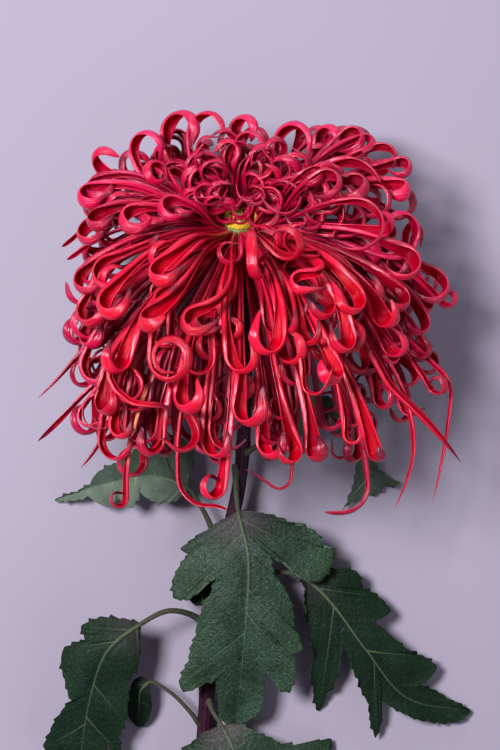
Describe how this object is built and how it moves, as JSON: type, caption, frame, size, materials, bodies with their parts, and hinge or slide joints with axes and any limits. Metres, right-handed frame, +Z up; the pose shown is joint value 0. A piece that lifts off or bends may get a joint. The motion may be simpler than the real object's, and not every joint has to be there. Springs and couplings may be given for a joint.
{
  "type": "chrysanthemum",
  "caption": "Cut red spider chrysanthemum with long curled ray florets, a dark stem and lobed leaves, lying on its back.",
  "frame": {"origin": "middle of the whole flower's footprint, on the surface it lies on", "axes": "+Z up from the surface, +Y along the stem towards the bloom"},
  "size_m": [0.226, 0.3978, 0.1543],
  "materials": {
    "floret": "satin",
    "disc": "matte",
    "leaf": "matte",
    "bract": "matte",
    "stem": "satin"
  },
  "bodies": {
    "root": {"ray_florets": "floret", "disc_florets": "disc", "bract_cup": "bract", "stem": "stem", "leaf_front": "leaf", "leaf_lower_left": "leaf", "leaf_lower_right": "leaf", "leaf_upper_left": "leaf", "leaf_upper_right": "leaf", "leaf_bottom": "leaf", "side_shoot": "leaf", "axil_leaf": "leaf"}
  },
  "joints": []
}
